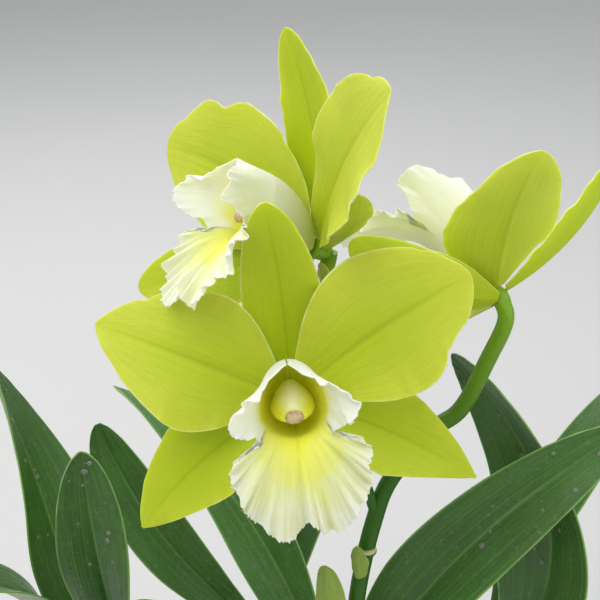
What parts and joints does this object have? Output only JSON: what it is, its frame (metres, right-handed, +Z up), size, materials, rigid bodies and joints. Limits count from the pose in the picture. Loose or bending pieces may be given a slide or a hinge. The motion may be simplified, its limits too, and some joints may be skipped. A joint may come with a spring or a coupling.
{
  "type": "potted cattleya orchid",
  "caption": "Cattleya orchid in flower in its nursery pot: green blooms with ruffled white lips on a branching stem, over strap leaves, club-shaped pseudobulbs and bark.",
  "frame": {"origin": "centre of the pot's underside, on the surface that it stands on", "axes": "+Z up the plant, -Y the way the front bloom faces, +X towards the bloom on the right as seen from the front"},
  "size_m": [0.3415, 0.2448, 0.5149],
  "materials": {
    "pot": "black moulded nursery plastic, satin",
    "bark": "dry reddish-brown bark chips",
    "rhizome": "woody rhizome and pale roots",
    "pseudobulb": "green, ridged, with dry papery sheaths",
    "leaf": "dark green, leathery, satin, with scattered water drops",
    "stem": "fresh green, smooth",
    "sheath": "pale green, speckled",
    "tepal": "chartreuse, satin, faintly veined, with a pale edge",
    "lip": "white with a yellow throat and a fringed, ruffled edge",
    "column": "waxy, cream to yellow",
    "anther": "granular, pinkish cream"
  },
  "bodies": {
    "root": {"pot": "pot", "bark": "bark", "rhizome": "rhizome", "pseudobulb_1": "pseudobulb", "pseudobulb_2": "pseudobulb", "pseudobulb_3": "pseudobulb", "pseudobulb_4": "pseudobulb", "pseudobulb_5": "pseudobulb", "leaf_1_right": "leaf", "leaf_1_left": "leaf", "leaf_2_front": "leaf", "leaf_2_back": "leaf", "leaf_3_front": "leaf", "leaf_3_back": "leaf", "leaf_4_left": "leaf", "leaf_4_front": "leaf", "leaf_5_left": "leaf", "leaf_5_back": "leaf", "flower_sheath": "sheath", "stem_bract": "sheath", "flower_bract": "sheath", "flower_stem": "stem", "front_dorsal_sepal": "tepal", "front_left_petal": "tepal", "front_right_petal": "tepal", "front_left_lateral_sepal": "tepal", "front_right_lateral_sepal": "tepal", "front_lip": "lip", "front_column": "column", "front_anther_cap": "anther", "upper_dorsal_sepal": "tepal", "upper_left_petal": "tepal", "upper_right_petal": "tepal", "upper_left_lateral_sepal": "tepal", "upper_right_lateral_sepal": "tepal", "upper_lip": "lip", "upper_column": "column", "upper_anther_cap": "anther", "right_dorsal_sepal": "tepal", "right_left_petal": "tepal", "right_right_petal": "tepal", "right_left_lateral_sepal": "tepal", "right_right_lateral_sepal": "tepal", "right_lip": "lip", "right_column": "column", "right_anther_cap": "anther"}
  },
  "joints": []
}
